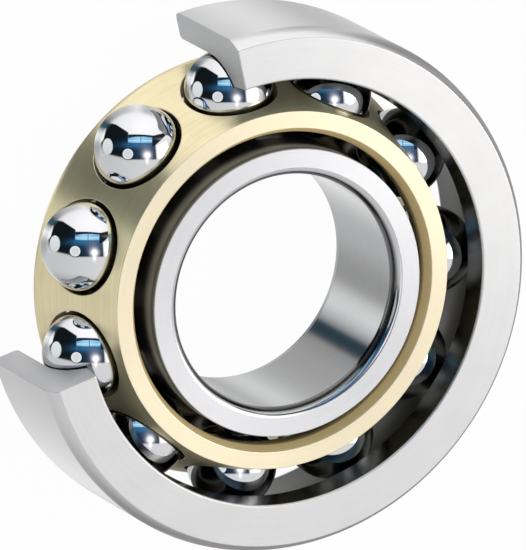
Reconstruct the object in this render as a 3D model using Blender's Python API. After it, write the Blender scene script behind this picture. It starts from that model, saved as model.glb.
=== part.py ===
"""Single-row angular contact ball bearing, 40 x 90 x 23 mm, cut open for display.

Frame: metres, +Z up.  The bearing lies on its back face with its axis on +Z,
and the origin is on the axis in the plane of the back face.

Pieces: an outer ring with a sector cut away, an inner ring, a one-piece
machined brass cage and eleven steel balls.
"""
import math

import bmesh
import bpy
from mathutils import Matrix, Vector

MM = 0.001

# ------------------------------------------------------------ driving sizes
BORE_D = 40.0            # inner ring bore
OUTSIDE_D = 90.0         # outer ring outside diameter
WIDTH = 23.0             # both rings

BALL_D = 15.081          # 19/32 inch balls
BALL_COUNT = 11
PITCH_R = 32.5           # radius of the circle through the ball centres
BALL_Z = 10.9            # height of the ball centres above the back face
CONTACT_ANGLE = 40.0     # degrees from the radial plane
RUNNING_GAP = 0.15       # ball to raceway, so that no two pieces touch
FIRST_BALL = 84.97       # azimuth of ball_01, degrees

CUT_START = 88.37        # the sector cut out of the outer ring, degrees
CUT_END = 181.63

# outer ring section
OR_LOW_SHOULDER_R = PITCH_R + BALL_D / 2 + RUNNING_GAP
OR_GROOVE_R = 8.3
OR_GROOVE_Z = 11.2
OR_HIGH_SHOULDER_R = 36.10
OR_MOUTH_R = 36.50
OR_FRONT_CORNER = (1.40, 2.70)     # radial and axial size of the round corner
OR_BACK_CORNER = 1.1

# inner ring section
IR_LOW_SHOULDER_R = 24.72
IR_GROOVE_R = 7.84
IR_HIGH_SHOULDER_R = 29.6
IR_BORE_CORNER = (1.50, 2.15)      # radial and axial size of the round corner

# cage section
CAGE_FRONT_Z = 21.4
CAGE_BACK_Z = 0.9
CAGE_FRONT_IN_R = 27.8
CAGE_THROAT_R = 26.9               # below the chamfer inside the front rim
CAGE_THROAT_Z = 19.9
CAGE_FRONT_OUT_R = 30.7
CAGE_WIDE_Z = 2.4
CAGE_WIDE_R = 36.5
CAGE_BACK_IN_R = 31.6
POCKET_R = 8.0
POCKET_TILT = 25.0                 # pocket axis above the radial plane, degrees
POCKET_SHIFT = 0.15                # pocket axis towards the front rim

# facets
STEPS_FULL = 60
STEPS_OUTER = 45
BALL_SUBDIVISIONS = 3
POCKET_SIDES = 28


# ------------------------------------------------------------------ helpers
def clear_scene():
    for ob in list(bpy.data.objects):
        bpy.data.objects.remove(ob, do_unlink=True)
    for me in list(bpy.data.meshes):
        bpy.data.meshes.remove(me)
    for ma in list(bpy.data.materials):
        bpy.data.materials.remove(ma)


def material(name, colour, roughness, metallic):
    ma = bpy.data.materials.new(name)
    ma.use_nodes = True
    bsdf = ma.node_tree.nodes["Principled BSDF"]
    bsdf.inputs["Base Color"].default_value = (*colour, 1.0)
    bsdf.inputs["Roughness"].default_value = roughness
    bsdf.inputs["Metallic"].default_value = metallic
    return ma


def corner(centre, size, start, stop, steps):
    """Points on a quarter ellipse about centre, from angle start to stop."""
    out = []
    for i in range(steps + 1):
        a = math.radians(start + (stop - start) * i / steps)
        out.append((centre[0] + size[0] * math.cos(a),
                    centre[1] + size[1] * math.sin(a)))
    return out


def arc(centre, radius, start, stop, steps):
    return corner(centre, (radius, radius), start, stop, steps)


def turned(name, profile, first, sweep, steps):
    """Spin a closed (r, z) profile about Z.  A sweep under a turn leaves the
    profile's own face at each end."""
    bm = bmesh.new()
    c, s = math.cos(math.radians(first)), math.sin(math.radians(first))
    verts = [bm.verts.new((r * c * MM, r * s * MM, z * MM)) for r, z in profile]
    face = bm.faces.new(verts)
    full = abs(sweep - 360.0) < 1e-6
    if full:
        edges = list(face.edges)
        bm.faces.remove(face)
        geom = verts + edges
    else:
        geom = verts + list(face.edges) + [face]
    bmesh.ops.spin(bm, geom=geom, cent=(0, 0, 0), axis=(0, 0, 1),
                   angle=math.radians(sweep), steps=steps, use_merge=full)
    bmesh.ops.remove_doubles(bm, verts=bm.verts, dist=1e-7)
    bmesh.ops.recalc_face_normals(bm, faces=bm.faces)
    me = bpy.data.meshes.new(name)
    bm.to_mesh(me)
    bm.free()
    me.shade_smooth()
    me.set_sharp_from_angle(angle=math.radians(28))
    return me


def add(name, mesh, ma, parent=None):
    ob = bpy.data.objects.new(name, mesh)
    if ma:
        mesh.materials.clear()
        mesh.materials.append(ma)
    bpy.context.scene.collection.objects.link(ob)
    if parent:
        ob.parent = parent
    return ob


def empty(name, parent=None):
    ob = bpy.data.objects.new(name, None)
    ob.empty_display_size = 0.01
    bpy.context.scene.collection.objects.link(ob)
    if parent:
        ob.parent = parent
    return ob


# ------------------------------------------------------------------ sections
def outer_ring_profile():
    ro, w = OUTSIDE_D / 2, WIDTH
    cr, cz = OR_FRONT_CORNER
    groove_centre = (OR_LOW_SHOULDER_R - OR_GROOVE_R, OR_GROOVE_Z)
    end = math.degrees(math.acos((OR_HIGH_SHOULDER_R - groove_centre[0]) / OR_GROOVE_R))
    p = [(ro - OR_BACK_CORNER, 0.0), (ro - 0.3, 0.45), (ro, 1.35)]
    p += corner((ro - cr, w - cz), (cr, cz), 0.0, 90.0, 5)
    p += [(OR_MOUTH_R + 0.35, w), (OR_MOUTH_R, w - 0.4)]
    p += arc(groove_centre, OR_GROOVE_R, end, 0.0, 7)
    p += [(OR_LOW_SHOULDER_R, 1.0), (OR_LOW_SHOULDER_R + 0.7, 0.0)]
    return p


def inner_ring_profile():
    rb, w = BORE_D / 2, WIDTH
    cr, cz = IR_BORE_CORNER
    a = math.radians(CONTACT_ANGLE)
    off = IR_GROOVE_R - BALL_D / 2 - RUNNING_GAP
    centre = (PITCH_R + off * math.cos(a), BALL_Z + off * math.sin(a))
    end = math.degrees(math.acos((centre[0] - IR_HIGH_SHOULDER_R) / IR_GROOVE_R))
    p = corner((rb + cr, cz), (cr, cz), 270.0, 180.0, 4)
    p += corner((rb + cr, w - cz), (cr, cz), 180.0, 90.0, 4)
    p += [(IR_LOW_SHOULDER_R - 0.15, w), (IR_LOW_SHOULDER_R, w - 0.25)]
    p += arc(centre, IR_GROOVE_R, 180.0, 180.0 + end, 7)
    p += [(IR_HIGH_SHOULDER_R, 0.8), (IR_HIGH_SHOULDER_R - 0.6, 0.0)]
    return p


def cage_profile():
    return [
        (CAGE_BACK_IN_R, CAGE_BACK_Z),
        (CAGE_WIDE_R - 0.9, CAGE_BACK_Z),
        (CAGE_WIDE_R - 0.15, CAGE_WIDE_Z - 0.7),
        (CAGE_WIDE_R, CAGE_WIDE_Z),
        (CAGE_FRONT_OUT_R, CAGE_FRONT_Z),
        (CAGE_FRONT_IN_R, CAGE_FRONT_Z),
        (CAGE_THROAT_R, CAGE_THROAT_Z),
        (CAGE_THROAT_R, 16.6),
        (30.3, 11.1),
        (CAGE_BACK_IN_R, 5.0),
    ]


# --------------------------------------------------------------------- build
def main():
    clear_scene()
    ground_steel = material("ground_steel", (0.62, 0.62, 0.64), 0.30, 1.0)
    bore_steel = material("bore_steel", (0.58, 0.58, 0.60), 0.25, 1.0)
    ball_steel = material("ball_steel", (0.80, 0.81, 0.83), 0.04, 1.0)
    brass = material("machined_brass", (0.72, 0.55, 0.28), 0.30, 1.0)

    axis = empty("bearing_axis")

    # outer ring: turned, with one sector cut out along two radial planes
    me = turned("outer_ring", outer_ring_profile(), CUT_END,
                360.0 - (CUT_END - CUT_START), STEPS_OUTER)
    add("outer_ring", me, ground_steel, axis)

    # inner ring
    me = turned("inner_ring", inner_ring_profile(), 0.0, 360.0, STEPS_FULL)
    add("inner_ring", me, bore_steel, axis)

    # cage: a turned blank with eleven round pockets bored through it
    me = turned("cage", cage_profile(), FIRST_BALL, 360.0, STEPS_FULL)
    cage = add("cage", me, brass, axis)

    bm = bmesh.new()
    for k in range(BALL_COUNT):
        az = math.radians(FIRST_BALL + 360.0 * k / BALL_COUNT)
        tilt = math.radians(POCKET_TILT)
        out = Vector((math.cos(az) * math.cos(tilt), math.sin(az) * math.cos(tilt),
                      math.sin(tilt)))
        forward = Vector((-math.cos(az) * math.sin(tilt), -math.sin(az) * math.sin(tilt),
                          math.cos(tilt)))
        ball = Vector((PITCH_R * math.cos(az), PITCH_R * math.sin(az), BALL_Z)) * MM
        mid = ball - out * (1.0 * MM) + forward * (POCKET_SHIFT * MM)
        place = (Matrix.Translation(mid)
                 @ out.to_track_quat('Z', 'Y').to_matrix().to_4x4())
        bmesh.ops.create_cone(bm, cap_ends=True, segments=POCKET_SIDES,
                              radius1=POCKET_R * MM, radius2=POCKET_R * MM,
                              depth=16.0 * MM, matrix=place)
    cut_mesh = bpy.data.meshes.new("pocket_cutters")
    bm.to_mesh(cut_mesh)
    bm.free()
    cutter = add("pocket_cutters", cut_mesh, None, axis)
    cutter.hide_render = True
    cutter.display_type = 'WIRE'
    mod = cage.modifiers.new("pockets", 'BOOLEAN')
    mod.operation = 'DIFFERENCE'
    mod.solver = 'EXACT'
    mod.object = cutter

    # balls: each sits at its own centre, turned to its own spin axis
    bm = bmesh.new()
    bmesh.ops.create_icosphere(bm, subdivisions=BALL_SUBDIVISIONS,
                               radius=BALL_D / 2 * MM)
    ball_mesh = bpy.data.meshes.new("ball")
    bm.to_mesh(ball_mesh)
    bm.free()
    ball_mesh.shade_smooth()
    for k in range(BALL_COUNT):
        az = math.radians(FIRST_BALL + 360.0 * k / BALL_COUNT)
        ball = add("ball_%02d" % (k + 1), ball_mesh, ball_steel, cage)
        ball.location = (PITCH_R * MM * math.cos(az),
                         PITCH_R * MM * math.sin(az), BALL_Z * MM)
        ball.rotation_euler = (0.0, -math.radians(CONTACT_ANGLE), az)


main()
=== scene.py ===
import math

import bmesh
import bpy
from mathutils import Matrix, Vector


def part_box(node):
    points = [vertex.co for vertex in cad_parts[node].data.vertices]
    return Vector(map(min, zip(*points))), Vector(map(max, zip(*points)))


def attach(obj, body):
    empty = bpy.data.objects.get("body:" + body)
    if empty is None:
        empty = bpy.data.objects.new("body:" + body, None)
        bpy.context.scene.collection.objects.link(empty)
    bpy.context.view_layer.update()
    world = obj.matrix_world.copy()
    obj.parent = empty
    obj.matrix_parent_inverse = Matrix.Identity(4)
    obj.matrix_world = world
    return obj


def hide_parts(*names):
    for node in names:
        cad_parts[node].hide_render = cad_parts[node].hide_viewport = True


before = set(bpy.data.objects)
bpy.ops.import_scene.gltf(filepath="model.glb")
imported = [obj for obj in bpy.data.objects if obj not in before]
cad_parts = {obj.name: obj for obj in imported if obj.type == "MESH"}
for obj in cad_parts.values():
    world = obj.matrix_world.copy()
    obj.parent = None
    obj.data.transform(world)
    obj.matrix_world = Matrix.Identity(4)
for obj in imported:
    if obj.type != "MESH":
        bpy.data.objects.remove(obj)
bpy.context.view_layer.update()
MM = 0.001

# ------------------------------------------------------------------ sizes
# The same driving sizes as the CAD model, in millimetres.
BORE_R, OUT_R, WIDTH = 20.0, 45.0, 23.0
BALL_D, BALL_COUNT, PITCH_R, BALL_Z = 15.081, 11, 32.5, 10.9
CONTACT, GAP, FIRST_BALL = 40.0, 0.15, 84.97
CUT_START, CUT_END = 88.37, 181.63
OR_LOW, OR_GROOVE_R, OR_GROOVE_Z, OR_HIGH, OR_MOUTH = PITCH_R + BALL_D / 2 + GAP, 8.3, 11.2, 36.10, 36.50
IR_LOW, IR_GROOVE_R, IR_HIGH = 24.72, 7.84, 29.6
POCKET_R, POCKET_TILT, POCKET_SHIFT = 8.0, 25.0, 0.15


# ------------------------------------------------------------- mesh tools
def finish_mesh(name, verts, faces, sharp=30.0):
    me = bpy.data.meshes.new(name)
    me.from_pydata(verts, [], faces)
    me.validate()
    bm = bmesh.new()
    bm.from_mesh(me)
    bmesh.ops.remove_doubles(bm, verts=bm.verts, dist=2e-7)
    bmesh.ops.recalc_face_normals(bm, faces=bm.faces)
    bm.to_mesh(me)
    bm.free()
    me.shade_smooth()
    me.set_sharp_from_angle(angle=math.radians(sharp))
    ob = bpy.data.objects.new(name, me)
    bpy.context.scene.collection.objects.link(ob)
    return ob


def ell(centre, size, start, stop, n):
    out = []
    for i in range(n + 1):
        a = math.radians(start + (stop - start) * i / n)
        out.append((centre[0] + size[0] * math.cos(a), centre[1] + size[1] * math.sin(a)))
    return out


def rounded(points, radii, n=5):
    """A closed (r, z) outline with its corners rounded: radii maps a point's
    index to its corner radius."""
    out, m = [], len(points)
    for i, p in enumerate(points):
        r = radii.get(i, 0.0)
        if r <= 0:
            out.append(p)
            continue
        a, c = Vector(points[i - 1]), Vector(points[(i + 1) % m])
        b = Vector(p)
        u, v = (a - b).normalized(), (c - b).normalized()
        half = u.angle(v) / 2
        t = min(r / math.tan(half), 0.45 * (a - b).length, 0.45 * (c - b).length)
        r = t * math.tan(half)
        centre = b + (u + v).normalized() * (r / math.sin(half))
        s, e = b + u * t - centre, b + v * t - centre
        a0, a1 = math.atan2(s.y, s.x), math.atan2(e.y, e.x)
        d = (a1 - a0 + math.pi) % (2 * math.pi) - math.pi
        for k in range(n + 1):
            w = a0 + d * k / n
            out.append((centre.x + r * math.cos(w), centre.y + r * math.sin(w)))
    return out


def supported(points, longest=1.6, near=0.05):
    """Adds points beside each corner and along long runs, so that smooth
    shading stays flat on flat faces."""
    out, m = [], len(points)
    for i in range(m):
        a, b = Vector(points[i]), Vector(points[(i + 1) % m])
        d = (b - a).length
        out.append(tuple(a))
        if d < 4 * near:
            continue
        ts = [near / d, 1 - near / d]
        k = int(d / longest)
        ts += [(j + 1) / (k + 1) for j in range(k)]
        for t in sorted(ts):
            out.append(tuple(a.lerp(b, t)))
    return out


def revolve(name, outline, start, sweep, steps, edge=0.12, sharp=30.0):
    """Turns a closed (r, z) outline about Z.  A part turn gets flat ends, with
    a fine break of `edge` along their rims."""
    full = abs(sweep - 360) < 1e-6
    n = len(outline)
    rows = []
    if full:
        for i in range(steps):
            a = math.radians(start + 360.0 * i / steps)
            rows.append([(r * math.cos(a) * MM, r * math.sin(a) * MM, z * MM) for r, z in outline])
    else:
        # a row pulled in by the edge break at each end, then the full section
        cx = sum(p[0] for p in outline) / n
        cz = sum(p[1] for p in outline) / n
        inset = offset_outline(outline, edge)
        da = math.degrees(edge / 40.0)
        angles = [start + sweep * i / steps for i in range(steps + 1)]
        angles[0:1] = [start + da * k for k in (1.0, 1.8)]
        angles[-1:] = [start + sweep - da * k for k in (1.8, 1.0)]
        plan = [(start, inset)]
        plan.append((start + da * 0.3, offset_outline(outline, edge * 0.3)))
        plan += [(a, outline) for a in angles]
        plan.append((start + sweep - da * 0.3, offset_outline(outline, edge * 0.3)))
        plan.append((start + sweep, inset))
        for a, line in plan:
            a = math.radians(a)
            rows.append([(r * math.cos(a) * MM, r * math.sin(a) * MM, z * MM) for r, z in line])
    verts = [v for row in rows for v in row]
    faces = []
    m = len(rows)
    for i in range(m if full else m - 1):
        j = (i + 1) % m
        for k in range(n):
            l = (k + 1) % n
            faces.append((i * n + k, j * n + k, j * n + l, i * n + l))
    if not full:
        faces.append(tuple(range(n)))
        faces.append(tuple((m - 1) * n + k for k in reversed(range(n))))
    return finish_mesh(name, verts, faces, sharp)


def offset_outline(points, d):
    """The outline moved inwards by d."""
    m = len(points)
    area = sum(points[i][0] * points[(i + 1) % m][1] - points[(i + 1) % m][0] * points[i][1] for i in range(m))
    s = 1.0 if area > 0 else -1.0
    out = []
    for i in range(m):
        a, b, c = Vector(points[i - 1]), Vector(points[i]), Vector(points[(i + 1) % m])
        u, v = (b - a), (c - b)
        if u.length < 1e-9 or v.length < 1e-9:
            out.append(tuple(b))
            continue
        u.normalize(); v.normalize()
        nu, nv = Vector((-u.y, u.x)) * s, Vector((-v.y, v.x)) * s
        w = nu + nv
        k = w.length_squared
        w = w * (2.0 / k) if k > 0.3 else nu
        out.append((b.x + w.x * d, b.y + w.y * d))
    return out


# --------------------------------------------------------------- outlines
def outer_ring_outline():
    cr, cz = 1.40, 2.70
    gc = (OR_LOW - OR_GROOVE_R, OR_GROOVE_Z)
    end = math.degrees(math.acos((OR_HIGH - gc[0]) / OR_GROOVE_R))
    p = [(OUT_R - 1.1, 0.0), (OUT_R - 0.55, 0.18), (OUT_R - 0.2, 0.6), (OUT_R, 1.35)]
    back = ell((OUT_R - 1.1, 1.35), (1.1, 1.35), 270, 360, 8)
    p = back
    # a long round corner that meets the cylinder and the face at slight edges
    t0, t1 = math.radians(9), math.radians(46)
    cr = cz / (math.sin(t1) - math.sin(t0))
    cc = (OUT_R - cr * math.cos(t0), WIDTH - cz - cr * math.sin(t0))
    p += ell(cc, (cr, cr), 9.0, 45.4, 14)
    p += [(cc[0] + cr * math.cos(t1) - 0.03, WIDTH - 0.012), (cc[0] + cr * math.cos(t1) - 0.09, WIDTH)]
    p += ell((OR_MOUTH + 0.35, WIDTH - 0.4), (0.35, 0.4), 90, 180, 5)
    p += ell(gc, (OR_GROOVE_R, OR_GROOVE_R), end, 0.0, 28)
    p += ell((OR_LOW + 0.7, 1.0), (0.7, 1.0), 180, 270, 6)
    return supported(p)


def inner_ring_outline():
    cr, cz = 1.50, 2.15
    a = math.radians(CONTACT)
    off = IR_GROOVE_R - BALL_D / 2 - GAP
    gc = (PITCH_R + off * math.cos(a), BALL_Z + off * math.sin(a))
    end = math.degrees(math.acos((gc[0] - IR_HIGH) / IR_GROOVE_R))
    p = ell((BORE_R + cr, cz), (cr, cz), 270.0, 180.0, 12)
    p += ell((BORE_R + cr, WIDTH - cz), (cr, cz), 180.0, 90.0, 12)
    p += ell((IR_LOW - 0.15, WIDTH - 0.25), (0.15, 0.25), 90.0, 0.0, 4)
    p += ell(gc, (IR_GROOVE_R, IR_GROOVE_R), 180.0, 180.0 + end, 24)
    p += ell((IR_HIGH - 0.6, 0.8), (0.6, 0.8), 0.0, -90.0, 6)
    return supported(p)


# ------------------------------------------------------------------- cage
CAGE_IN = [(0.9, 31.6), (5.0, 31.6), (11.1, 30.3), (16.6, 26.9), (19.9, 26.9)]
CAGE_OUT = [(0.9, 35.6), (1.25, 36.2), (1.8, 36.44), (2.4, 36.5), (21.4, 30.7)]


def lerp_table(t, z):
    if z <= t[0][0]:
        return t[0][1]
    for (a, ra), (b, rb) in zip(t, t[1:]):
        if z <= b:
            return ra + (rb - ra) * (z - a) / (b - a)
    return t[-1][1]


def cage_in(z):
    return sum(lerp_table(CAGE_IN, z + 0.3 * k) for k in range(-4, 5)) / 9.0


def cage_out(z):
    return lerp_table(CAGE_OUT, z)


def pocket_point(rho, a, surface, depth):
    """Where the line along the pocket's axis, at distance rho from it and at
    angle a round it, meets the surface, then moved along by depth."""
    tilt = math.radians(POCKET_TILT)
    ct, st = math.cos(tilt), math.sin(tilt)
    t, e = rho * math.cos(a), rho * math.sin(a) + POCKET_SHIFT
    x0, z0 = PITCH_R - e * st, BALL_Z + e * ct
    lo, hi = -9.0, 9.0
    for _ in range(40):
        s = (lo + hi) / 2
        if math.hypot(x0 + s * ct, t) < surface(z0 + s * st):
            lo = s
        else:
            hi = s
    s = (lo + hi) / 2 + depth
    return x0 + s * ct, t, z0 + s * st


OUT_LOW, OUT_TOP, OUT_MID = 2.45, 20.2, 11.4
IN_LOW, IN_TOP, IN_MID = 1.16, 19.0, 9.3


def make_cage():
    """Turned blank with eleven bored pockets, as one mesh of quads: around
    each pocket the surface runs from the pocket's rim out to the edges of its
    own sector, and turned bands close it above and below."""
    verts, faces = [], []
    NA = 96                                   # points round a pocket, eight to each 30 degrees
    half = math.radians(180.0 / BALL_COUNT)
    chamfer = 0.15

    def sector(a, low, top, mid):
        c, s = math.cos(a), math.sin(a)
        k = 1.0 / max(abs(c), abs(s))
        return c * k * half, mid + s * k * ((top - mid) if s > 0 else (mid - low))

    angles = [2 * math.pi * i / NA for i in range(NA)]
    outer_u = (0.0, 0.10, 0.24, 0.42, 0.60, 0.76, 0.88, 0.95, 0.985, 1.0)
    inner_u = (1.0, 0.97, 0.85, 0.62, 0.35, 0.0)
    # every ring of points once, for a pocket that looks along +X
    plan = []
    for u in outer_u:
        ring = []
        for a in angles:
            x, y, z = pocket_point(POCKET_R + chamfer, a, cage_out, 0.0)
            ra, rz = sector(a, OUT_LOW, OUT_TOP, OUT_MID)
            az, z = ra + (math.atan2(y, x) - ra) * u, rz + (z - rz) * u
            ring.append((cage_out(z) * math.cos(az), cage_out(z) * math.sin(az), z))
        plan.append(ring)
    for rho, d in ((POCKET_R + chamfer * 0.62, -0.03), (POCKET_R + chamfer * 0.25, -0.09), (POCKET_R, -0.20), (POCKET_R, -0.28)):
        plan.append([pocket_point(rho, a, cage_out, d) for a in angles])
    for f in (0.2, 0.4, 0.6, 0.8):
        ring = []
        for a in angles:
            o = pocket_point(POCKET_R, a, cage_out, -0.28)
            i = pocket_point(POCKET_R, a, cage_in, 0.25)
            ring.append(tuple(p + (q - p) * f for p, q in zip(o, i)))
        plan.append(ring)
    for rho, d in ((POCKET_R, 0.25), (POCKET_R, 0.12), (POCKET_R + 0.03, 0.05), (POCKET_R + 0.09, 0.0)):
        plan.append([pocket_point(rho, a, cage_in, d) for a in angles])
    for u in inner_u[1:]:
        ring = []
        for a in angles:
            x, y, z = pocket_point(POCKET_R + 0.09, a, cage_in, 0.0)
            ra, rz = sector(a, IN_LOW, IN_TOP, IN_MID)
            az, z = ra + (math.atan2(y, x) - ra) * u, rz + (z - rz) * u
            ring.append((cage_in(z) * math.cos(az), cage_in(z) * math.sin(az), z))
        plan.append(ring)

    for b in range(BALL_COUNT):
        base = math.radians(FIRST_BALL + 360.0 * b / BALL_COUNT)
        c, s = math.cos(base), math.sin(base)
        rows = []
        for ring in plan:
            row = []
            for x, y, z in ring:
                verts.append(((x * c - y * s) * MM, (x * s + y * c) * MM, z * MM))
                row.append(len(verts) - 1)
            rows.append(row)
        for p, q in zip(rows, rows[1:]):
            for i in range(NA):
                j = (i + 1) % NA
                faces.append((p[i], p[j], q[j], q[i]))

    # azimuths of the sectors' points along their top and bottom edges
    edge = sorted(sector(a, OUT_LOW, OUT_TOP, OUT_MID)[0] for a in angles[NA // 8:3 * NA // 8 + 1])
    azs = []
    for b in range(BALL_COUNT):
        base = math.radians(FIRST_BALL + 360.0 * b / BALL_COUNT)
        azs += [base + a for a in edge[:-1]]

    def band(outline):
        rows = []
        for a in azs:
            row = []
            for r, z in outline:
                verts.append((r * math.cos(a) * MM, r * math.sin(a) * MM, z * MM))
                row.append(len(verts) - 1)
            rows.append(row)
        for i in range(len(rows)):
            j = (i + 1) % len(rows)
            for k in range(len(outline) - 1):
                faces.append((rows[i][k], rows[j][k], rows[j][k + 1], rows[i][k + 1]))

    e = 0.12
    rim = [(cage_out(z), z) for z in (OUT_TOP, 20.6, 20.95)]
    rim += rounded([(cage_out(21.0), 21.0), (30.7, 21.4), (29.5, 21.4)], {1: e}, 5)[1:-1]
    rim += [(30.5, 21.4), (30.0, 21.4), (29.2, 21.4), (28.4, 21.4), (28.02, 21.4)]
    throat = rounded([(28.02, 21.4), (27.8, 21.4), (26.9, 19.9), (26.9, 19.2)], {1: 0.2, 2: 0.3}, 5)[1:-1]
    rim += throat[:6]
    rim += [tuple(Vector(throat[5]).lerp(Vector(throat[6]), f)) for f in (0.05, 0.35, 0.65, 0.95)]
    rim += throat[6:] + [(26.9, 19.3), (cage_in(IN_TOP), IN_TOP)]
    band(rim)
    foot = [(cage_in(IN_LOW), IN_LOW), (31.6, 1.10)]
    foot += ell((31.6 + e, 0.9 + e), (e, e), 180, 270, 4)
    foot += [(31.9, 0.9), (33.0, 0.9), (34.4, 0.9), (35.3, 0.9)]
    foot += ell((35.5, 1.9), (1.0, 1.0), 270, 360, 8)
    foot += [(36.5, 2.1), (cage_out(OUT_LOW), OUT_LOW)]
    band(foot)
    return finish_mesh("cage_fine", verts, faces, sharp=50.0)


# ------------------------------------------------------------------ balls
def ball_mesh(n=26):
    """A sphere of six square patches, so that it has no poles."""
    r = BALL_D / 2 * MM
    verts, faces, index = [], [], {}

    def vert(p):
        p = Vector(p).normalized() * r
        key = tuple(round(c * 1e7) for c in p)
        if key not in index:
            index[key] = len(verts)
            verts.append(tuple(p))
        return index[key]

    for axis in range(3):
        for side in (-1, 1):
            grid = []
            for i in range(n + 1):
                row = []
                for j in range(n + 1):
                    u = math.tan(math.radians(-45 + 90.0 * i / n))
                    v = math.tan(math.radians(-45 + 90.0 * j / n))
                    p = [0.0, 0.0, 0.0]
                    p[axis], p[(axis + 1) % 3], p[(axis + 2) % 3] = side, u, v * side
                    row.append(vert(p))
                grid.append(row)
            for i in range(n):
                for j in range(n):
                    faces.append((grid[i][j], grid[i + 1][j], grid[i + 1][j + 1], grid[i][j + 1]))
    me = bpy.data.meshes.new("ball_fine")
    me.from_pydata(verts, [], faces)
    bm = bmesh.new()
    bm.from_mesh(me)
    bmesh.ops.recalc_face_normals(bm, faces=bm.faces)
    bm.to_mesh(me)
    bm.free()
    me.shade_smooth()
    return me


# -------------------------------------------------------------- materials
class Nodes:
    """Small helper that adds nodes and links them."""

    def __init__(self, tree):
        self.t = tree

    def new(self, kind, **values):
        n = self.t.nodes.new(kind)
        for k, v in values.items():
            setattr(n, k, v)
        return n

    def put(self, socket, value):
        if isinstance(value, bpy.types.NodeSocket):
            self.t.links.new(value, socket)
        elif value is not None:
            socket.default_value = value

    def math(self, op, a, b=None, c=None, clamp=False):
        n = self.new('ShaderNodeMath', operation=op, use_clamp=clamp)
        for s, v in zip(n.inputs, (a, b, c)):
            self.put(s, v)
        return n.outputs[0]

    def dot(self, a, vec):
        n = self.new('ShaderNodeVectorMath', operation='DOT_PRODUCT')
        self.put(n.inputs[0], a)
        n.inputs[1].default_value = vec
        return n.outputs['Value']

    def step(self, x, lo, hi, a=0.0, b=1.0):
        """Smooth change from a to b as x goes from lo to hi."""
        n = self.new('ShaderNodeMapRange', interpolation_type='SMOOTHSTEP')
        self.put(n.inputs['Value'], x)
        n.inputs['From Min'].default_value = lo
        n.inputs['From Max'].default_value = hi
        n.inputs['To Min'].default_value = a
        n.inputs['To Max'].default_value = b
        return n.outputs['Result']

    def mix(self, fac, a, b):
        n = self.new('ShaderNodeMix', data_type='RGBA')
        self.put(n.inputs[0], fac)
        self.put(n.inputs[6], a)
        self.put(n.inputs[7], b)
        return n.outputs[2]

    def mul(self, *xs):
        out = xs[0]
        for x in xs[1:]:
            out = self.math('MULTIPLY', out, x)
        return out

    def combine(self, x, y, z):
        n = self.new('ShaderNodeCombineXYZ')
        for s, v in zip(n.inputs, (x, y, z)):
            self.put(s, v)
        return n.outputs[0]

    def noise(self, vec, scale, detail=3.0, rough=0.55, w=None, lac=2.0):
        n = self.new('ShaderNodeTexNoise', noise_dimensions='4D' if w is not None else '3D')
        self.put(n.inputs['Vector'], vec)
        if w is not None:
            self.put(n.inputs['W'], w)
        n.inputs['Scale'].default_value = scale
        n.inputs['Detail'].default_value = detail
        n.inputs['Roughness'].default_value = rough
        n.inputs['Lacunarity'].default_value = lac
        return n.outputs[0]

    def ramp(self, x, stops):
        n = self.new('ShaderNodeValToRGB')
        self.put(n.inputs[0], x)
        cr = n.color_ramp
        while len(cr.elements) < len(stops):
            cr.elements.new(0.5)
        for e, (p, c) in zip(cr.elements, stops):
            e.position = p
            e.color = (*c, 1.0) if len(c) == 3 else c
        return n.outputs[0]


def new_material(name):
    ma = bpy.data.materials.new(name)
    ma.use_nodes = True
    n = Nodes(ma.node_tree)
    return ma, n, ma.node_tree.nodes['Principled BSDF']


def turned_coords(n):
    """Object position in millimetres as radius, height and direction round Z."""
    co = n.new('ShaderNodeTexCoord').outputs['Object']
    sep = n.new('ShaderNodeSeparateXYZ')
    n.put(sep.inputs[0], co)
    x, y, z = sep.outputs
    r = n.math('SQRT', n.math('ADD', n.math('MULTIPLY', x, x), n.math('MULTIPLY', y, y)))
    cx, sy = n.math('DIVIDE', x, r), n.math('DIVIDE', y, r)
    return co, n.math('MULTIPLY', r, 1000.0), n.math('MULTIPLY', z, 1000.0), cx, sy


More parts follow.
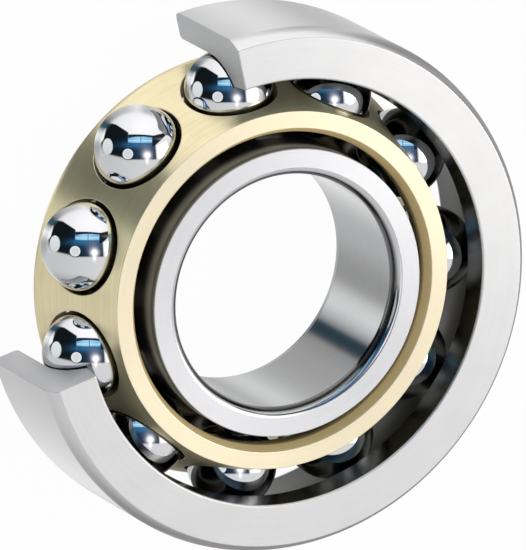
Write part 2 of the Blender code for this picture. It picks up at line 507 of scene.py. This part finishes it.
def metal(name, colour, rough, aniso, lines, line_depth, vary, rough_vary, tint=None, blotch=0.5, metallic=1.0, along=None):
    """Ground or turned metal: fine lines run round the axis.  `along` paints shade and reflection by height: it
    multiplies the colour by a factor that changes with height: (lowest z, highest z, [(position 0-1, factor), ...])."""
    ma, n, b = new_material(name)
    co, r, z, cx, sy = turned_coords(n)
    # fine lines round the axis: noise that changes fast along the section and slowly round it
    vec = n.combine(n.math('MULTIPLY', cx, 1.3), n.math('MULTIPLY', sy, 1.3), n.math('MULTIPLY', r, lines))
    fine = n.noise(vec, 1.0, 4.0, 0.65, w=n.math('MULTIPLY', z, lines))
    vec2 = n.combine(n.math('MULTIPLY', cx, 4.0), n.math('MULTIPLY', sy, 4.0), n.math('MULTIPLY', r, lines * 0.22))
    broad = n.noise(vec2, 1.0, 3.0, 0.6, w=n.math('MULTIPLY', z, lines * 0.22))
    cloud = n.noise(co, 160.0, 3.0, 0.5)
    smudge = n.noise(co, 55.0, 4.0, 0.6)
    # colour
    both = n.math('ADD', n.math('MULTIPLY', fine, 0.6), n.math('MULTIPLY', broad, 0.4))
    shade = n.math('ADD', both, n.math('MULTIPLY', n.math('SUBTRACT', cloud, 0.5), blotch))
    lo = tuple(c * (1 - vary) for c in colour)
    hi = tuple(min(1.0, c * (1 + vary)) for c in colour)
    col = n.ramp(shade, [(0.30, lo), (0.52, colour), (0.75, hi)])
    if tint:
        col = n.mix(n.step(smudge, 0.45, 0.72, 0.0, 0.5), col, (*tint, 1.0))
    # painted shade and painted reflection: the colour is multiplied by a ramp of factors over height
    if along:
        z0, z1, stops = along
        t = n.math('DIVIDE', n.math('SUBTRACT', z, z0), z1 - z0, clamp=True)
        f = n.ramp(n.math('ADD', t, n.math('MULTIPLY', n.math('SUBTRACT', broad, 0.5), 0.05)), [(p, (k, k, k)) for p, k in stops])
        mult = n.new('ShaderNodeMix', data_type='RGBA', blend_type='MULTIPLY')
        mult.inputs[0].default_value = 1.0
        n.put(mult.inputs[6], col)
        n.put(mult.inputs[7], f)
        col = mult.outputs[2]
    n.put(b.inputs['Base Color'], col)
    b.inputs['Metallic'].default_value = metallic
    b.inputs['Specular IOR Level'].default_value = 0.5 if metallic == 1.0 else 0.15
    ro = n.math('ADD', rough - rough_vary, n.math('MULTIPLY', n.math('ADD', n.math('MULTIPLY', broad, 0.5), n.math('MULTIPLY', smudge, 0.5)), 2 * rough_vary))
    n.put(b.inputs['Roughness'], ro)
    b.inputs['Anisotropic'].default_value = aniso
    b.inputs['Anisotropic Rotation'].default_value = 0.25
    if aniso:
        tg = n.new('ShaderNodeTangent', direction_type='RADIAL', axis='Z')
        n.put(b.inputs['Tangent'], tg.outputs[0])
    bump = n.new('ShaderNodeBump')
    bump.inputs['Strength'].default_value = line_depth
    bump.inputs['Distance'].default_value = 0.00004
    n.put(bump.inputs['Height'], both)
    n.put(b.inputs['Normal'], bump.outputs[0])
    return ma


def ball_metal():
    ma, n, b = new_material("polished_ball_steel")
    co = n.new('ShaderNodeTexCoord').outputs['Object']
    haze = n.noise(co, 420.0, 4.0, 0.6)
    film = n.noise(co, 90.0, 3.0, 0.55)
    n.put(b.inputs['Base Color'], n.ramp(film, [(0.3, (0.70, 0.71, 0.72)), (0.7, (0.755, 0.76, 0.77))]))
    b.inputs['Metallic'].default_value = 1.0
    n.put(b.inputs['Roughness'], n.math('ADD', 0.018, n.math('MULTIPLY', haze, 0.03)))
    bump = n.new('ShaderNodeBump')
    bump.inputs['Strength'].default_value = 0.04
    bump.inputs['Distance'].default_value = 0.000003
    n.put(bump.inputs['Height'], haze)
    n.put(b.inputs['Normal'], bump.outputs[0])
    return ma


# ------------------------------------------------------------------ pieces
def set_material(ob, *mats):
    ob.data.materials.clear()
    for m in mats:
        ob.data.materials.append(m)


outer_face = metal("ground_face_outer", (0.64, 0.637, 0.631), 0.43, 0.12, 5.0, 0.22, 0.04, 0.05)
outer_wall = metal("ground_outer_cylinder", (0.68, 0.68, 0.682), 0.20, 0.40, 4.0, 0.15, 0.03, 0.04)
outer_corner = metal("turned_outer_corner", (0.70, 0.698, 0.695), 0.24, 0.40, 6.0, 0.15, 0.04, 0.04)
# painted shade: the outer raceway's steel is made near black, standing in for the shade and dark reflections between
# the rings
outer_race = metal("honed_outer_raceway_painted_shade", (0.092, 0.094, 0.09), 0.24, 0.45, 7.0, 0.10, 0.10, 0.04)
inner_face = metal("ground_face_inner", (0.675, 0.674, 0.68), 0.43, 0.30, 5.0, 0.22, 0.04, 0.05)
# painted shade: the bore's steel is darker than the same steel on the faces
inner_bore = metal("ground_bore_painted_shade", (0.522, 0.526, 0.53), 0.15, 0.30, 4.0, 0.08, 0.03, 0.03)
# painted reflection: darker steel with a dark band by height on the bore corner, standing in for the dark room
# reflected there
inner_corner = metal("turned_bore_corner_painted_reflection", (0.574, 0.578, 0.583), 0.13, 0.30, 6.0, 0.08, 0.04, 0.02, blotch=0.2,
                     along=(20.8, 23.0, [(0.03, 0.90), (0.17, 0.34), (0.76, 0.28), (0.90, 0.95), (1.0, 1.0)]))
# painted shade: the inner raceway's steel is made dark, standing in for the shade and dark reflections between the
# rings
inner_race = metal("honed_inner_raceway_painted_shade", (0.18, 0.18, 0.175), 0.22, 0.50, 7.0, 0.08, 0.10, 0.03, blotch=0.0)
# painted shade and painted reflection: darker steel, near black low in the gap to the cage, with light and dark bands
# by height above
inner_shoulder = metal("ground_inner_shoulder_painted_shade", (0.45, 0.45, 0.41), 0.42, 0.30, 6.0, 0.10, 0.05, 0.04, blotch=0.0, metallic=0.6,
                       along=(16.0, 23.0, [(0.33, 0.07), (0.45, 0.18), (0.55, 0.60), (0.66, 1.0), (0.80, 1.0), (0.855, 0.42), (0.93, 0.50), (1.0, 0.85)]))
steel_cut = metal("ground_cut_face", (0.70, 0.70, 0.705), 0.60, 0.0, 3.0, 0.08, 0.02, 0.03, blotch=0.2)
brass = metal("turned_brass_cone", (1.0, 0.87, 0.545), 0.31, 0.55, 4.0, 0.40, 0.12, 0.06, metallic=0.70)
brass_face = metal("turned_brass_face", (0.83, 0.741, 0.535), 0.43, 0.30, 5.0, 0.22, 0.04, 0.05)
brass_throat = metal("turned_brass_throat", (0.98, 0.73, 0.34), 0.55, 0.0, 5.0, 0.25, 0.08, 0.05, metallic=0.10)
# painted shade: the pocket walls get a much darker brass than the rest of the cage
brass_pocket = metal("bored_brass_pocket_painted_shade", (0.30, 0.24, 0.12), 0.35, 0.0, 5.0, 0.15, 0.10, 0.05)
ball_mat = ball_metal()

outer = revolve("outer_ring_fine", outer_ring_outline(), CUT_END, 360 - (CUT_END - CUT_START), 200)
inner = revolve("inner_ring_fine", inner_ring_outline(), 0.0, 360.0, 256)
cage_ob = make_cage()

# each surface of a ring gets its finish by where it lies on the section; the raceways, bore, bore corner and inner
# shoulder get materials with painted shade
set_material(outer, outer_face, outer_wall, outer_corner, outer_race, steel_cut)
for p in outer.data.polygons:
    c, nrm = p.center / MM, p.normal
    r = math.hypot(c.x, c.y)
    out = (nrm.x * c.x + nrm.y * c.y) / r
    around = abs(nrm.x * -c.y + nrm.y * c.x) / r
    if around > 0.9:
        p.material_index = 4
    elif r < 41.0 and out < -0.05 and 0.9 < c.z < 22.7:
        p.material_index = 3
    elif out > 0.999 and r > 44.9:
        p.material_index = 1
    elif r > 43.6:
        p.material_index = 2
set_material(inner, inner_face, inner_bore, inner_corner, inner_race, inner_shoulder)
for p in inner.data.polygons:
    c, nrm = p.center / MM, p.normal
    r = math.hypot(c.x, c.y)
    out = (nrm.x * c.x + nrm.y * c.y) / r
    if r > 24.0 and out > 0.05:
        p.material_index = 4 if c.z > 15.5 else 3
    elif out < -0.999:
        p.material_index = 1
    elif r < 21.5 and c.z > 11:
        p.material_index = 2
set_material(cage_ob, brass, brass_face, brass_throat, brass_pocket)
tilt = math.radians(POCKET_TILT)
for p in cage_ob.data.polygons:
    c, nrm = p.center / MM, p.normal
    r = math.hypot(c.x, c.y)
    out = (nrm.x * c.x + nrm.y * c.y) / r
    pitch = 2 * math.pi / BALL_COUNT
    az = math.atan2(c.y, c.x) - math.radians(FIRST_BALL)
    az -= pitch * round(az / pitch)
    # distance from the axis of the nearest pocket
    x, y, z = r * math.cos(az) - PITCH_R + POCKET_SHIFT * math.sin(tilt), r * math.sin(az), c.z - BALL_Z - POCKET_SHIFT * math.cos(tilt)
    along_axis = x * math.cos(tilt) + z * math.sin(tilt)
    rho = math.sqrt(max(0.0, x * x + y * y + z * z - along_axis * along_axis))
    # the pocket walls get the dark brass of painted shade
    if rho < POCKET_R + 0.02:
        p.material_index = 3
    elif c.z > 21.3:
        p.material_index = 1
    elif out < -0.3 and c.z > 19.0:
        p.material_index = 2

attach(outer, "outer_ring"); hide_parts("outer_ring")
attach(inner, "inner_ring"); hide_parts("inner_ring")
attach(cage_ob, "cage"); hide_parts("cage")

sphere = ball_mesh()
sphere.materials.append(ball_mat)
for k in range(BALL_COUNT):
    name = "ball_%02d" % (k + 1)
    lo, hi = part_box(name)
    ob = bpy.data.objects.new(name + "_fine", sphere)
    bpy.context.scene.collection.objects.link(ob)
    az = math.radians(FIRST_BALL + 360.0 * k / BALL_COUNT)
    ob.location = (PITCH_R * math.cos(az) * MM, PITCH_R * math.sin(az) * MM, BALL_Z * MM)
    ob.rotation_euler = (0.0, -math.radians(CONTACT), az)
    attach(ob, name)
    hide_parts(name)

# ------------------------------------------------------------------ camera
# rows: the camera's right, down and forward directions
CAM_R = ((0.869001, -0.212269, 0.446967), (-0.347798, -0.904555, 0.246613), (0.351958, -0.369761, -0.859885))
cam_data = bpy.data.cameras.new("camera")
cam_data.lens = 1000.0
cam_data.sensor_width = 36.0
cam_data.clip_start, cam_data.clip_end = 0.1, 10.0
cam = bpy.data.objects.new("camera", cam_data)
bpy.context.scene.collection.objects.link(cam)
rx, ry, rz = (Vector(v) for v in CAM_R)
m = Matrix((rx, -ry, -rz)).transposed().to_4x4()
m.translation = Vector((-0.895187, 0.941431, 2.201440))
cam.matrix_world = m
bpy.context.scene.camera = cam

# ------------------------------------------------------------------- studio
# A pale table, seen by the camera; reflections see the studio round it.
fl = bpy.data.meshes.new("floor")
s = 3.0
fl.from_pydata([(-s, -s, 0), (s, -s, 0), (s, s, 0), (-s, s, 0)], [], [(0, 1, 2, 3)])
floor = bpy.data.objects.new("floor", fl)
floor.location.z = -0.0002
bpy.context.scene.collection.objects.link(floor)
fm, fn, fb = new_material("pale_table")
fb.inputs['Base Color'].default_value = (0.02, 0.02, 0.02, 1.0)
fb.inputs['Roughness'].default_value = 0.9
fb.inputs['Specular IOR Level'].default_value = 0.0
fb.inputs['Emission Color'].default_value = (1.0, 1.0, 1.0, 1.0)
fb.inputs['Emission Strength'].default_value = 0.975
# from underneath the table is clear, so that the back face can be looked at
under = fn.new('ShaderNodeBsdfTransparent')
which = fn.new('ShaderNodeMixShader')
fn.put(which.inputs[0], fn.new('ShaderNodeNewGeometry').outputs['Backfacing'])
fn.put(which.inputs[1], fb.outputs[0])
fn.put(which.inputs[2], under.outputs[0])
fn.put(fm.node_tree.nodes['Material Output'].inputs['Surface'], which.outputs[0])
floor.data.materials.append(fm)
floor.visible_glossy = False
floor.visible_diffuse = False

# A near white panel inside the far one: it lights the faces a little more
# strongly at the upper right than at the lower left.
PANEL = [(0.485, -0.04), (0.615, -0.11), (0.655, 0.06), (0.605, 0.175), (0.485, 0.185)]
pts = []
for pu, pv in PANEL:
    k = 2.0 * math.sqrt(1.0 - pu * pu - pv * pv)
    back = -(1.0 - 2.0 * (pu * pu + pv * pv))
    way = Vector(CAM_R[0]) * (pu * k) + Vector(CAM_R[1]) * (pv * k) + Vector(CAM_R[2]) * back
    pts.append(way * 0.45 + Vector((0.0, 0.0, 0.0115)))
pm_mesh = bpy.data.meshes.new("panel")
pm_mesh.from_pydata([tuple(q) for q in pts], [], [(0, 1, 2), (0, 2, 3), (0, 3, 4)])
panel = bpy.data.objects.new("panel", pm_mesh)
bpy.context.scene.collection.objects.link(panel)
pm, pn, pb = new_material("panel_light")
glow = pn.new('ShaderNodeEmission')
glow.inputs['Color'].default_value = (1.0, 0.985, 0.96, 1.0)
glow.inputs['Strength'].default_value = 2.8
both_ways = pn.new('ShaderNodeAddShader')
pn.put(both_ways.inputs[0], glow.outputs[0])
pn.put(both_ways.inputs[1], pn.new('ShaderNodeBsdfTransparent').outputs[0])
pn.put(pm.node_tree.nodes['Material Output'].inputs['Surface'], both_ways.outputs[0])
panel.data.materials.append(pm)
panel.visible_camera = False

# The studio itself: a world whose light is laid out in the directions of a
# mirror ball seen from the camera's side (u to the right, v down, 1 at the rim).
world = bpy.data.worlds.new("studio")
bpy.context.scene.world = world
world.use_nodes = True
w = Nodes(world.node_tree)
bg = world.node_tree.nodes['Background']
d = w.new('ShaderNodeTexCoord').outputs['Generated']
X, Y, Z = w.dot(d, CAM_R[0]), w.dot(d, CAM_R[1]), w.dot(d, CAM_R[2])
q = w.math('INVERSE_SQRT', w.math('MULTIPLY', w.math('MAXIMUM', w.math('SUBTRACT', 1.0, Z), 0.0005), 2.0))
u, v = w.math('MULTIPLY', X, q), w.math('MULTIPLY', Y, q)
rho = w.math('SQRT', w.math('ADD', w.math('MULTIPLY', u, u), w.math('MULTIPLY', v, v)))
theta = w.math('DIVIDE', w.math('ARCTAN2', v, u), math.pi * 2)      # -0.5 ... 0.5, 0 to the right, 0.25 down
wob = w.noise(d, 6.0, 2.0, 0.5)


def side(p0, p1, soft=0.012):
    """1 on the right-hand side (seen with v down) of the line from p0 to p1."""
    nx, ny = -(p1[1] - p0[1]), p1[0] - p0[0]
    k = math.hypot(nx, ny)
    nx, ny = nx / k, ny / k
    x = w.math('ADD', w.math('MULTIPLY', u, nx), w.math('MULTIPLY', v, ny))
    c = p0[0] * nx + p0[1] * ny
    return w.step(x, c - soft, c + soft)


def poly(points, soft=0.012):
    """1 inside a convex shape whose corners run clockwise as seen."""
    n = len(points)
    return w.mul(*[side(points[i], points[(i + 1) % n], soft[i] if isinstance(soft, (list, tuple)) else soft) for i in range(n)])


def blob(cu, cv, ru, rv, power=1.0):
    """A soft round patch, 1 in the middle."""
    a = w.math('DIVIDE', w.math('SUBTRACT', u, cu), ru)
    b = w.math('DIVIDE', w.math('SUBTRACT', v, cv), rv)
    e = w.math('ADD', w.math('MULTIPLY', a, a), w.math('MULTIPLY', b, b))
    return w.math('EXPONENT', w.math('MULTIPLY', e, -power))


def disc(cu, cv, ru, rv, soft=0.08):
    a = w.math('DIVIDE', w.math('SUBTRACT', u, cu), ru)
    b = w.math('DIVIDE', w.math('SUBTRACT', v, cv), rv)
    e = w.math('SQRT', w.math('ADD', w.math('MULTIPLY', a, a), w.math('MULTIPLY', b, b)))
    return w.step(e, 1.0 - soft, 1.0 + soft, 1.0, 0.0)


def rgb(r, g, b):
    return (r, g, b, 1.0)


def grey(x):
    return (x, x, x)


# ceiling: a white sweep, brightest to the right, greyer to the upper left
col = w.mix(blob(0.12, -0.52, 0.85, 0.60), rgb(0.62, 0.62, 0.63), rgb(1.16, 1.14, 1.15))
# table: light grey below, a little darker to the left
table = w.mix(w.step(u, -0.75, 0.35), rgb(0.64, 0.64, 0.65), rgb(0.78, 0.775, 0.785))
far = w.math('SUBTRACT', v, w.math('MULTIPLY', u, 0.15))
table = w.mix(w.step(far, 0.58, 1.0), table, rgb(0.21, 0.21, 0.22))
col = w.mix(w.step(v, 0.10, 0.17), col, table)
# the dark room behind the camera, with its beam to the right
room = w.math('MAXIMUM',
              poly([(-0.83, -0.62), (-0.51, -0.56), (-0.225, -0.375), (-0.225, 0.225), (-0.36, 0.19), (-0.72, 0.12), (-0.84, -0.10)],
                   [0.02, 0.012, 0.012, 0.03, 0.05, 0.06, 0.02]),
              poly([(-0.235, -0.330), (-0.10, -0.335), (0.10, -0.330), (0.36, -0.305), (0.39, 0.22), (-0.235, 0.225)],
                   [0.010, 0.010, 0.010, 0.012, 0.022, 0.010]))
beam = poly([(0.30, -0.300), (0.66, -0.395), (0.67, -0.250), (0.38, -0.100), (0.30, -0.02)], [0.012, 0.02, 0.012, 0.012, 0.02])
shade = w.mix(w.step(u, -0.40, -0.12), rgb(0.006, 0.010, 0.012), rgb(0.008, 0.026, 0.055))
shade = w.mix(w.step(u, 0.16, 0.34), shade, rgb(0.035, 0.050, 0.085))
shade = w.mix(w.mul(w.step(v, 0.02, 0.20), w.step(u, -0.30, 0.0, 1.0, 0.0)), shade, rgb(0.010, 0.018, 0.020))
shade = w.mix(blob(0.02, -0.10, 0.34, 0.075), shade, rgb(0.035, 0.17, 0.36))
shade = w.mix(blob(0.16, 0.03, 0.12, 0.14), shade, rgb(0.20, 0.24, 0.34))
streak = w.step(w.noise(w.combine(w.math('MULTIPLY', u, 30.0), w.math('MULTIPLY', v, 2.5), 0.0), 1.0, 2.0, 0.6), 0.50, 0.72)
shade = w.mix(w.mul(streak, w.step(u, -0.15, 0.15), w.step(v, -0.13, 0.0)), shade, rgb(0.055, 0.085, 0.13))
col = w.mix(room, col, shade)
beam_col = w.mix(blob(0.50, -0.235, 0.12, 0.028), rgb(0.012, 0.018, 0.026), rgb(0.17, 0.18, 0.19))
col = w.mix(beam, col, beam_col)
# a blue window in two panes under a dark beam
win = poly([(-0.235, -0.252), (-0.09, -0.278), (0.12, -0.283), (0.300, -0.262), (0.290, -0.145), (-0.228, -0.148)], 0.008)
pane = w.mix(w.step(u, -0.26, 0.0), rgb(0.15, 0.44, 0.74), rgb(0.42, 0.76, 1.0))
pane = w.mix(w.step(u, 0.0, 0.26), pane, rgb(0.26, 0.60, 0.92))
pane = w.mix(w.mul(w.step(v, -0.215, -0.20), w.step(v, -0.19, -0.175, 1.0, 0.0)), pane, rgb(0.62, 0.86, 1.0))
pane = w.mix(w.step(w.math('ABSOLUTE', w.math('SUBTRACT', u, 0.05)), 0.004, 0.014, 1.0, 0.0), pane, rgb(0.06, 0.25, 0.45))
col = w.mix(win, col, pane)
# lamps: an oval one, a round one, and a bare bulb with its glare
col = w.mix(disc(-0.680, -0.068, 0.112, 0.178, 0.07), col, w.mix(w.step(v, -0.20, 0.10), rgb(0.86, 0.90, 0.89), rgb(0.74, 0.80, 0.79)))
col = w.mix(disc(-0.235, 0.098, 0.132, 0.132, 0.06), col, rgb(0.015, 0.022, 0.028))
col = w.mix(disc(-0.235, 0.098, 0.114, 0.114, 0.05), col, rgb(1.02, 1.02, 1.02))
col = w.mix(disc(-0.235, 0.098, 0.092, 0.092, 0.12), col, rgb(0.80, 0.82, 0.84))
col = w.mix(blob(0.190, 0.130, 0.075, 0.078), col, rgb(1.9, 1.85, 1.95))
col = w.mix(blob(0.190, 0.245, 0.028, 0.065), col, rgb(1.6, 1.55, 1.6))
# bright strip at the far left
col = w.mix(poly([(-0.765, -0.49), (-0.715, -0.47), (-0.775, -0.22), (-0.865, -0.12), (-0.865, -0.24)], 0.015), col, rgb(1.25, 1.25, 1.25))
# the far sides, seen only at a glancing angle
edge = w.ramp(w.math('ADD', theta, 0.5), [
    (0.000, grey(0.44)), (0.014, grey(0.42)), (0.028, grey(0.52)), (0.044, grey(0.82)), (0.060, grey(0.92)),
    (0.076, grey(0.55)), (0.090, (0.05, 0.10, 0.135)), (0.108, (0.04, 0.09, 0.125)), (0.124, grey(0.27)), (0.150, grey(0.46)),
    (0.199, grey(0.60)), (0.213, grey(0.68)), (0.240, grey(0.90)), (0.254, grey(0.82)), (0.278, grey(0.56)),
    (0.300, grey(0.58)), (0.316, grey(0.72)), (0.330, grey(0.50)), (0.368, grey(0.26)), (0.394, grey(0.38)),
    (0.440, grey(0.36)), (0.475, grey(0.32)), (0.545, grey(0.30)), (0.620, grey(0.28)), (0.760, grey(0.32)),
    (0.800, grey(0.38)), (0.822, grey(0.26)), (0.836, grey(0.62)), (0.848, grey(0.88)), (0.870, grey(0.88)),
    (0.935, grey(0.66)), (1.000, grey(0.44))])
# the edge begins further in at the upper left and the right than at the lower left
low = w.mul(w.step(v, 0.0, 0.35), w.step(u, -0.25, 0.10, 1.0, 0.0))
start = w.step(u, -0.5, 0.75, 0.805, 0.72)
start = w.math('ADD', start, w.math('MULTIPLY', w.math('SUBTRACT', 0.935, start), low))
width = w.math('SUBTRACT', 0.085, w.math('MULTIPLY', low, 0.055))
fall = w.math('DIVIDE', w.math('SUBTRACT', rho, start), width, clamp=True)
col = w.mix(fall, col, edge)
# the white card at the right, which also lights the faces
col = w.mix(poly([(0.400, -0.080), (0.615, -0.195), (0.680, 0.060), (0.620, 0.190), (0.425, 0.205)], 0.014), col, rgb(1.75, 1.735, 1.735))
# a plain pale backdrop where the camera looks past the table
lp = w.new('ShaderNodeLightPath').outputs['Is Camera Ray']
w.put(bg.inputs['Color'], w.mix(lp, col, rgb(0.852, 0.852, 0.852)))
bg.inputs['Strength'].default_value = 1.15

bpy.context.scene.view_settings.view_transform = 'Standard'
